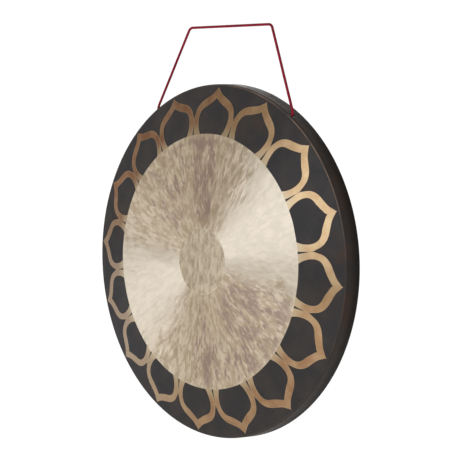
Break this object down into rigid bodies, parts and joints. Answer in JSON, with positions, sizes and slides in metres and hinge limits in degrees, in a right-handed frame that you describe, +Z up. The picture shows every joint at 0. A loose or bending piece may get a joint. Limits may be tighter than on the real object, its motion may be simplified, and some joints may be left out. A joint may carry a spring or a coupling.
{
  "type": "tam tam gong",
  "caption": "Round hammered bronze gong with a turned-back rim and a lotus-petal border, hung by holes in its rim from a crimson cord.",
  "frame": {"origin": "middle of the cord's level top run, on its centreline, where the stand's two hooks carry the weight between them", "axes": "+Z up against gravity, -Y out of the gong's struck face, +Y towards its open back, +X to the right as seen from the front"},
  "size_m": [0.6, 0.0703, 0.6951],
  "materials": {
    "gong_bronze": "hammered bronze: lathe-polished centre, raw dark patina around it, brushed petal outlines",
    "cord_crimson": "braided crimson polyester cord"
  },
  "bodies": {
    "cord_top": {"cord_top_run": "cord_crimson"},
    "cord_legs": {"cord_leg_left": "cord_crimson", "cord_leg_right": "cord_crimson"},
    "gong": {"gong_disc": "gong_bronze", "cord_knot_left": "cord_crimson", "cord_knot_right": "cord_crimson"}
  },
  "joints": [
    {"name": "cord_swing", "type": "hinge", "parent": "cord_top", "child": "cord_legs", "pos_m": [0, 0, 0], "axis": [1, 0, 0], "range_deg": [-30, 30]},
    {"name": "gong_tilt", "type": "hinge", "parent": "cord_legs", "child": "gong", "pos_m": [0, 0, -0.1447], "axis": [1, 0, 0], "range_deg": [-20, 20]}
  ]
}
